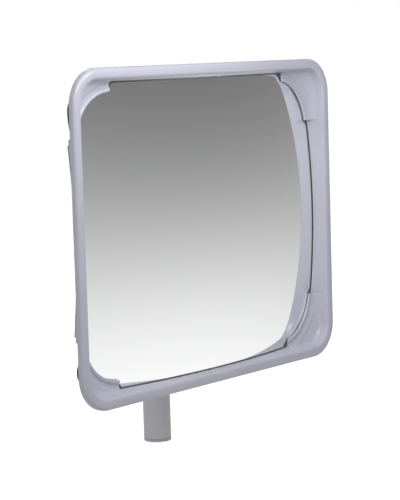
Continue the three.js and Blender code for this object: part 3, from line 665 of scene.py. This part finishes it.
def weld_bead(start, end, radius):
    """A row of ripples along a welded seam, as rings round the line from start to end."""
    start, end = np.array(start), np.array(end)
    length = np.linalg.norm(end - start)
    along = (end - start) / length
    side = np.cross(along, (0, 0, 1) if abs(along[2]) < 0.9 else (1, 0, 0))
    side /= np.linalg.norm(side)
    other = np.cross(along, side)
    angles = np.linspace(0, 2 * math.pi, 16, endpoint=False)
    rings = []
    for run in np.linspace(0, length, 120):
        taper = min(1, math.sqrt(max(1e-3, min(run, length - run) / (3 * radius))))
        ripple = 1 - 0.13 * abs(math.sin(run / (1.1 * radius) * math.pi))
        across = np.outer(np.cos(angles), side) + np.outer(np.sin(angles), other)
        rings.append(start + along * run + across * radius * taper * ripple)
    return rings


def join_pieces(pieces):
    """Joins several objects into the first of them."""
    whole = pieces[0]
    merged = bmesh.new()
    for piece in pieces:
        merged.from_mesh(piece.data)
    merged.to_mesh(whole.data)
    merged.free()
    for piece in pieces[1:]:
        bpy.data.objects.remove(piece)
    return whole


BRACKET_PLATE = 4 * MM
WELD_RADIUS = 2 * MM
WELD_PLACES = (29.3 * MM, 33.7 * MM)  # across, inside and outside each cheek
WELD_ENDS = (-19 * MM, 40 * MM)  # below and above the head's centre


def build_bracket():
    """The welded bracket on the shell's back, and the plate that spreads its load inside."""
    bracket = softened("welded_bracket", "tilt_bracket", GALVANISED)
    plate_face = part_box("tilt_bracket")[0].y + BRACKET_PLATE
    beads = []
    for side in (-1, 1):
        for across in WELD_PLACES:
            start, end = ((side * across, plate_face, CENTRE_Z + height) for height in WELD_ENDS)
            rings = weld_bead(start, end, WELD_RADIUS)
            beads.append(ring_mesh("bead", rings, GALVANISED, closed=False))
    bracket = join_pieces([bracket, *beads])
    place_piece(bracket, "mirror_head", "galvanised_steel", "tilt_bracket")
    spreader = softened("spreader_sheet", "spreader_plate", GALVANISED)
    place_piece(spreader, "mirror_head", "galvanised_steel", "spreader_plate")


# How far the crest of a clip's hump stands behind the plain hook it is cut from.
CLIP_FULLNESS = {"upper": 1 * MM, "lower": 4.5 * MM}


def fill_out(clip, extra):
    """Pushes a clip's back outwards, most at the crest of its hump and not at all in front."""
    vertices = clip.data.vertices
    front = min(vertex.co.y for vertex in vertices)
    back = max(vertex.co.y for vertex in vertices)
    for vertex in vertices:
        vertex.co.y += extra * ((vertex.co.y - front) / (back - front)) ** 2


def build_clips():
    for where in CORNERS:
        clip = softened(f"moulded_clip_{where}", f"corner_clip_{where}", CLIP_PLASTIC, CAST_EDGE)
        fill_out(clip, CLIP_FULLNESS[where.split("_")[0]])
        place_piece(clip, "mirror_head", "clip_plastic", f"corner_clip_{where}")


def build_clamp():
    for side in ("front", "rear"):
        half = softened(f"clamp_casting_{side}", f"clamp_{side}", GALVANISED, CAST_EDGE)
        place_piece(half, "post_clamp", "galvanised_steel", f"clamp_{side}")


# ---------------------------------------------------------------- turned pieces

AXES = {
    "X": (Vector((1, 0, 0)), Vector((0, 1, 0)), Vector((0, 0, 1))),
    "Y": (Vector((0, 1, 0)), Vector((1, 0, 0)), Vector((0, 0, 1))),
    "Z": (Vector((0, 0, 1)), Vector((1, 0, 0)), Vector((0, 1, 0))),
}


def angles_round(segments):
    return np.linspace(0, 2 * math.pi, segments, endpoint=False)


def turned_rings(origin, axis, levels, segments=48):
    """Rings round an axis. A level's height and radius are numbers, or one number per angle."""
    along, first, second = (np.array(direction) for direction in AXES[axis])
    angles = angles_round(segments)
    round_axis = np.outer(np.cos(angles), first) + np.outer(np.sin(angles), second)
    rings = []
    for height, radius in levels:
        heights = np.broadcast_to(height, segments)[:, None]
        radii = np.broadcast_to(radius, segments)[:, None]
        rings.append(np.array(origin) + along * heights + round_axis * radii)
    return rings


def hexagon(apothem, segments=48):
    """Radius of a hexagon at each angle, with two of its corners up and down."""
    sixth = math.pi / 3
    return apothem / np.cos((angles_round(segments) + sixth / 2) % sixth - sixth / 2)


def thread(start, end, radius, pitch, segments=48):
    """Levels of a screw thread, with its helix cut in from the full radius."""
    angles = angles_round(segments)
    count = max(2, int(abs(end - start) / pitch * 5))
    levels = []
    for height in np.linspace(start, end, count):
        phase = 2 * math.pi * height / pitch - angles
        levels.append((height, radius * 0.93 + radius * 0.07 * np.cos(phase)))
    return levels


def middle_of(node):
    low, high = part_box(node)
    return (low + high) / 2


def hex_head(apothem, face, root):
    """Levels of a bolt's head: a chamfered face, the hexagon and the root it stands on."""
    chamfer = apothem * 0.96
    drop = math.copysign(apothem * 0.1, root - face)
    sides = hexagon(apothem)
    cut_back = np.minimum(sides, apothem * 1.09)
    return [(face, chamfer * 0.9), (face, chamfer), (face + drop, cut_back),
            (face + drop * 1.6, sides), (root, sides)]


def build_bolt(name, node, axis, radius, head_length, body):
    """A hexagon bolt with its head at the low end of its CAD box and a thread at the other."""
    low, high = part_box(node)
    index = "XYZ".index(axis)
    apothem = (high.z - low.z) / 2 * math.cos(math.pi / 6)
    centre = middle_of(node)
    centre[index] = low[index]
    length = high[index] - low[index]
    pitch = radius * 0.3
    plain = head_length + (length - head_length) * 0.35
    levels = hex_head(apothem, 0, head_length)
    levels += [(head_length, radius * 1.02), (plain, radius)]
    levels += thread(plain + pitch / 2, length - pitch, radius, pitch)
    levels += [(length - pitch * 0.4, radius * 0.86), (length, radius * 0.7)]
    piece = ring_mesh(name, turned_rings(centre, axis, levels), ZINC, closed=False)
    return place_piece(piece, body, "zinc_fasteners", node)


def build_nut(name, node, axis, bolt_radius, body):
    low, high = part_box(node)
    index = "XYZ".index(axis)
    apothem = (high.z - low.z) / 2 * math.cos(math.pi / 6)
    centre = middle_of(node)
    centre[index] = low[index]
    length = high[index] - low[index]
    bore = bolt_radius + 0.2 * MM
    near = hex_head(apothem, 0, length / 2)[1:]
    far = hex_head(apothem, length, length / 2)[1:-1][::-1]
    inside = [(length, bore * 1.06), (length - 0.5 * MM, bore), (0.5 * MM, bore), (0, bore * 1.06)]
    piece = ring_mesh(name, turned_rings(centre, axis, near + far + inside), ZINC)
    return place_piece(piece, body, "zinc_fasteners", node)


def build_collar(name, node, axis, bore, body, edge=0.3 * MM):
    """A washer or a bush: a ring with its edges rounded."""
    low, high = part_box(node)
    index = "XYZ".index(axis)
    outer = (high.z - low.z) / 2
    centre = middle_of(node)
    centre[index] = low[index]
    length = high[index] - low[index]
    levels = [(0, bore + edge), (0, outer - edge), (edge, outer), (length - edge, outer),
              (length, outer - edge), (length, bore + edge), (length - edge, bore), (edge, bore)]
    piece = ring_mesh(name, turned_rings(centre, axis, levels, 64), ZINC)
    return place_piece(piece, body, "zinc_fasteners", node)


SCREW_RADIUS = 2.4 * MM
SCREW_PITCH = 0.9 * MM
SCREW_HEAD_LENGTH = 3 * MM
SCREW_DOME = 2 * MM  # of the head's length, the part that is domed
CROSS_HALF_WIDTH = 0.55 * MM
CROSS_DEPTH = 1.6 * MM


def build_screw(where):
    """A pan-head screw with a cross recess. Its tip is at the low end of its CAD box."""
    node = f"clip_screw_{where}"
    low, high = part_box(node)
    centre = middle_of(node)
    centre.y = low.y + CLIP_FULLNESS[where.split("_")[0]]
    head_radius = (high.z - low.z) / 2
    length = high.y - low.y
    radius = SCREW_RADIUS
    head_root = length - SCREW_HEAD_LENGTH
    angles = angles_round(48)
    levels = [(0, radius * 0.3), (radius * 0.5, radius * 0.8)]
    levels += thread(radius / 1.5, head_root - radius / 6, radius, SCREW_PITCH)
    levels += [(head_root, radius), (head_root, head_radius), (length - SCREW_DOME, head_radius)]
    for share in (0.92, 0.8, 0.64, 0.6, 0.45, 0.3, 0.22, 0.18, 0.08):
        top = length - SCREW_DOME * share**2.5
        away = head_radius * share * np.minimum(abs(np.cos(angles)), abs(np.sin(angles)))
        in_cross = (away < CROSS_HALF_WIDTH) & (share < 0.62)
        levels.append((top - CROSS_DEPTH * in_cross * (1 - share), head_radius * share))
    piece = ring_mesh(f"pan_screw_{where}", turned_rings(centre, "Y", levels), ZINC, closed=False)
    return place_piece(piece, "mirror_head", "zinc_fasteners", node)


def build_fasteners():
    for i in range(1, 5):
        build_bolt(f"bracket_stud_{i}", f"bracket_bolt_{i}", "Y", M8, 5.3 * MM, "mirror_head")
        build_nut(f"bracket_hex_{i}", f"bracket_nut_{i}", "Y", M8, "mirror_head")
    for name, radius in (("pivot", M12), ("lock", M8)):
        build_bolt(f"{name}_stud", f"{name}_bolt", "X", radius, radius * 1.3, "mirror_head")
        build_nut(f"{name}_hex", f"{name}_nut", "X", radius, "mirror_head")
        for side in ("left", "right"):
            build_collar(f"{name}_ring_{side}", f"{name}_washer_{side}", "X",
                         radius + 0.3 * MM, "mirror_head")
    for where in CORNERS:
        build_bolt(f"clamp_stud_{where}", f"clamp_bolt_{where}", "Y", M10, 6.4 * MM, "post_clamp")
        build_nut(f"clamp_hex_{where}", f"clamp_nut_{where}", "Y", M10, "post_clamp")
        build_screw(where)
    build_collar("pivot_tube", "pivot_bush", "X", M12 + 0.3 * MM, "post_clamp", 0.6 * MM)


# ---------------------------------------------------------------- post and liner

POST_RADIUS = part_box("post_tube")[1].x
POST_WALL = 2.5 * MM
CUT_CHAMFER = 0.5 * MM
CAP_THICKNESS = 5 * MM
FOOT_THICKNESS = 6 * MM
CAP_EDGE = 1.6 * MM
PLUG_RIB = 0.8 * MM
LINER_GAP = 0.3 * MM  # to the post
LINER_WALL = 2.7 * MM
LINER_EDGE = 0.7 * MM
LINER_GROOVE = 0.5 * MM
LINER_SPLIT = 0.5 * MM  # each half stops this far from the plane between them


def build_post():
    """The round tube, with its cut ends chamfered, and its cap and foot."""
    low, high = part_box("post_tube")
    inner = POST_RADIUS - POST_WALL
    chamfer = CUT_CHAMFER
    heights = list(np.linspace(low.z + chamfer, high.z - chamfer, 12))
    levels = [(low.z, inner + chamfer), (low.z, POST_RADIUS - chamfer)]
    levels += [(height, POST_RADIUS) for height in heights]
    levels += [(high.z, POST_RADIUS - chamfer), (high.z, inner + chamfer)]
    levels += [(height, inner) for height in heights[::-1]]
    tube = ring_mesh("post_pipe", turned_rings((0, 0, 0), "Z", levels, 128), POST_COAT)
    place_piece(tube, "post", "post_steel", "post_tube")
    for name, node, up in (("pressed_cap", "post_cap", 1), ("pressed_foot", "post_foot", -1)):
        build_post_end(name, node, up)


def build_post_end(name, node, up):
    """A disc over the post's end, with a rounded edge, and a ribbed plug inside the post."""
    low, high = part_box(node)
    face, plug_end = (high.z, low.z) if up > 0 else (low.z, high.z)
    thickness = CAP_THICKNESS if up > 0 else FOOT_THICKNESS
    radius = (high.x - low.x) / 2
    edge = CAP_EDGE
    root = face - up * thickness
    levels = [(face, 0.2 * MM), (face, radius * 0.5), (face, radius - edge)]
    for turn in np.linspace(0, math.pi / 2, 7)[1:]:
        height = face - up * edge * (1 - math.cos(turn))
        levels.append((height, radius - edge * (1 - math.sin(turn))))
    levels.append((root, radius))
    plug = radius - POST_WALL - 0.3 * MM
    levels.append((root, plug - PLUG_RIB))
    for share in np.linspace(0, 1, 25)[1:-1]:
        ridge = PLUG_RIB * (0.5 + 0.5 * math.cos(share * math.pi * 8))
        levels.append((root + (plug_end - root) * share, plug - PLUG_RIB + ridge))
    levels += [(plug_end, plug - 1.4 * MM), (plug_end, 0.2 * MM)]
    piece = ring_mesh(name, turned_rings((0, 0, 0), "Z", levels, 96), END_PLUGS, closed=False)
    return place_piece(piece, "post", "end_plugs", node)


def build_liner(side, sign):
    """Half a rubber sleeve. Its outside is grooved, and its inside is plain where it grips the
    post.
    """
    node = f"clamp_liner_{side}"
    low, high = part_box(node)
    inner = POST_RADIUS + LINER_GAP
    outer = inner + LINER_WALL
    soft = LINER_EDGE
    middle = (low.z + high.z) / 2
    half = (high.z - low.z) / 2
    section = [(inner, -half + soft), (inner + soft, -half), (outer - soft, -half),
               (outer, -half + soft)]
    for height in np.linspace(-half + 2 * MM, half - 2 * MM, 61):
        groove = LINER_GROOVE * (0.5 - 0.5 * math.cos(height / half * math.pi * 10))
        section.append((outer - groove, height))
    section += [(outer, half - soft), (outer - soft, half), (inner + soft, half),
                (inner, half - soft)]
    split = math.asin(LINER_SPLIT / inner) * 1.15
    rings = []
    for angle in np.linspace(split, math.pi - split, 60):
        rings.append([(radius * math.cos(angle), sign * radius * math.sin(angle), middle + height)
                      for radius, height in section])
    piece = ring_mesh(f"grip_liner_{side}", rings, CLAMP_RUBBER, closed=False)
    return place_piece(piece, "clamp_liner", "clamp_rubber", node)


# ---------------------------------------------------------------- camera, light and stage

CAMERA_AZIMUTH = math.radians(-52.0)  # the camera stands to the left of the mirror's axis
CAMERA_ELEVATION = math.radians(5.49)
CAMERA_ROLL = math.radians(-1.685)
CAMERA_DISTANCE = 3.938
CAMERA_LENS = 133.52
CAMERA_SHIFT = (-0.0285, -0.0527)


def make_camera():
    back = Vector((
        math.sin(CAMERA_AZIMUTH) * math.cos(CAMERA_ELEVATION),
        -math.cos(CAMERA_AZIMUTH) * math.cos(CAMERA_ELEVATION),
        math.sin(CAMERA_ELEVATION),
    ))
    target = Vector((0, EDGE_Y, CENTRE_Z))
    right = Vector((0, 0, 1)).cross(back).normalized()
    up = back.cross(right)
    turned_right = right * math.cos(CAMERA_ROLL) + up * math.sin(CAMERA_ROLL)
    turned_up = up * math.cos(CAMERA_ROLL) - right * math.sin(CAMERA_ROLL)
    data = bpy.data.cameras.new("camera")
    data.lens = CAMERA_LENS
    data.sensor_width = 36
    data.shift_x, data.shift_y = CAMERA_SHIFT
    camera = bpy.data.objects.new("camera", data)
    turn = Matrix((turned_right, turned_up, back)).transposed().to_4x4()
    camera.matrix_world = Matrix.Translation(target + back * CAMERA_DISTANCE) @ turn
    bpy.context.scene.collection.objects.link(camera)
    bpy.context.scene.camera = camera


def area_light(name, location, target, size, power):
    data = bpy.data.lights.new(name, "AREA")
    data.shape = "RECTANGLE"
    data.size, data.size_y = size
    data.energy = power
    light = bpy.data.objects.new(name, data)
    light.location = location
    aim = Vector(target) - Vector(location)
    light.rotation_euler = aim.to_track_quat("-Z", "Y").to_euler()
    bpy.context.scene.collection.objects.link(light)
    return light


FILL = 0.36  # light from all round
THROWN = 1.1  # light that reaches the frame by way of the mirror
RAMP_LEAN = 0.16
RAMP_SCALE = 0.7
RAMP_FALL = 0.488  # the bell curve's width, as a share of the ramp
RAMP_DARKEST = 0.15


def make_world():
    """White to the camera, an even grey for fill, and a soft ramp for the mirror to show."""
    world = bpy.data.worlds.new("studio")
    world.use_nodes = True
    tree = world.node_tree
    tree.nodes.clear()

    def add(kind, **settings):
        node = tree.nodes.new(kind)
        for key, value in settings.items():
            setattr(node, key, value)
        return node

    def math_node(operation, *values):
        node = add("ShaderNodeMath", operation=operation)
        for socket, value in zip(node.inputs, values):
            if isinstance(value, (int, float)):
                socket.default_value = value
            else:
                tree.links.new(value, socket)
        return node.outputs[0]

    place = add("ShaderNodeTexCoord").outputs["Generated"]
    split = add("ShaderNodeSeparateXYZ")
    tree.links.new(place, split.inputs[0])
    x, _, z = split.outputs
    # The ramp runs with height, and leans a little with the direction across.
    lean = math_node("MULTIPLY", x, math_node("ADD", z, RAMP_LEAN))
    share = math_node("ADD", math_node("MULTIPLY", math_node("ADD", z, lean), RAMP_SCALE), 0.5)
    # It falls from white to its darkest grey along a bell curve.
    fall = math_node("DIVIDE", share, RAMP_FALL)
    squared = math_node("MULTIPLY", fall, fall)
    bell = math_node("EXPONENT", math_node("MULTIPLY", squared, -1.0))
    grey = math_node("ADD", math_node("MULTIPLY", bell, 1 - RAMP_DARKEST), RAMP_DARKEST)

    path = add("ShaderNodeLightPath")
    # Light that the mirror throws on to the frame round it is stronger than what it shows.
    thrown = add("ShaderNodeMix", data_type="RGBA")
    thrown.inputs["B"].default_value = (THROWN, THROWN, THROWN, 1)
    after_diffuse = math_node("MINIMUM", path.outputs["Diffuse Depth"], 1.0)
    tree.links.new(after_diffuse, thrown.inputs["Factor"])
    tree.links.new(grey, thrown.inputs["A"])
    shown = add("ShaderNodeMix", data_type="RGBA")
    shown.inputs["A"].default_value = (FILL, FILL, FILL * 1.02, 1)
    tree.links.new(path.outputs["Is Glossy Ray"], shown.inputs["Factor"])
    tree.links.new(thrown.outputs["Result"], shown.inputs["B"])
    seen = add("ShaderNodeMix", data_type="RGBA")
    seen.inputs["B"].default_value = (1, 1, 1, 1)
    tree.links.new(path.outputs["Is Camera Ray"], seen.inputs["Factor"])
    tree.links.new(shown.outputs["Result"], seen.inputs["A"])
    background = add("ShaderNodeBackground")
    tree.links.new(seen.outputs["Result"], background.inputs["Color"])
    output = add("ShaderNodeOutputWorld")
    tree.links.new(background.outputs[0], output.inputs["Surface"])
    bpy.context.scene.world = world


def make_floor():
    """A pale floor, bright enough for the camera to see it as white."""
    material = bpy.data.materials.new("floor")
    material.use_nodes = True
    shader = material.node_tree.nodes["Principled BSDF"]
    shader.inputs["Base Color"].default_value = (0.9, 0.9, 0.9, 1)
    shader.inputs["Roughness"].default_value = 0.9
    shader.inputs["Emission Color"].default_value = (1, 1, 1, 1)
    shader.inputs["Emission Strength"].default_value = 0.7
    size = 40
    corners = [(-size, -size, 0), (size, -size, 0), (size, size, 0), (-size, size, 0)]
    floor = mesh_object("floor", corners, [(0, 1, 2, 3)], material)
    floor.visible_glossy = False
    floor.visible_diffuse = False


def make_lights(mirror):
    """Soft light from above, the left, the front and behind. The mirror shows the world instead."""
    head = (0, EDGE_Y, CENTRE_Z)
    lights = [
        area_light("top_light", (-0.5, -0.9, 4.2), head, (3.2, 2.4), 22),
        area_light("brow_light", (-0.2, -0.72, 1.04), (-0.1, EDGE_Y, RIM_HIGH.z), (0.7, 0.12), 2.9),
        area_light("left_light", (-3.6, -0.6, 1.4), head, (2.0, 2.6), 14),
        area_light("back_light", (1.4, 3.2, 2.2), head, (2.4, 2.0), 34),
        area_light("glint_light", (-1.0, -1.5, 1.9), head, (0.18, 0.18), 7),
    ]
    unlit = bpy.data.collections.new("not_lit_by_lamps")
    unlit.objects.link(mirror)
    unlit.collection_objects[0].light_linking.link_state = "EXCLUDE"
    for light in lights:
        light.light_linking.receiver_collection = unlit
        light.visible_camera = False


build_front_frame()
pane = build_pane()
build_gasket()
build_shell()
build_clips()
build_bracket()
build_clamp()
build_fasteners()
build_post()
build_liner("front", -1)
build_liner("rear", 1)

make_camera()
make_world()
make_lights(pane)
make_floor()
bpy.context.scene.view_settings.view_transform = "Standard"
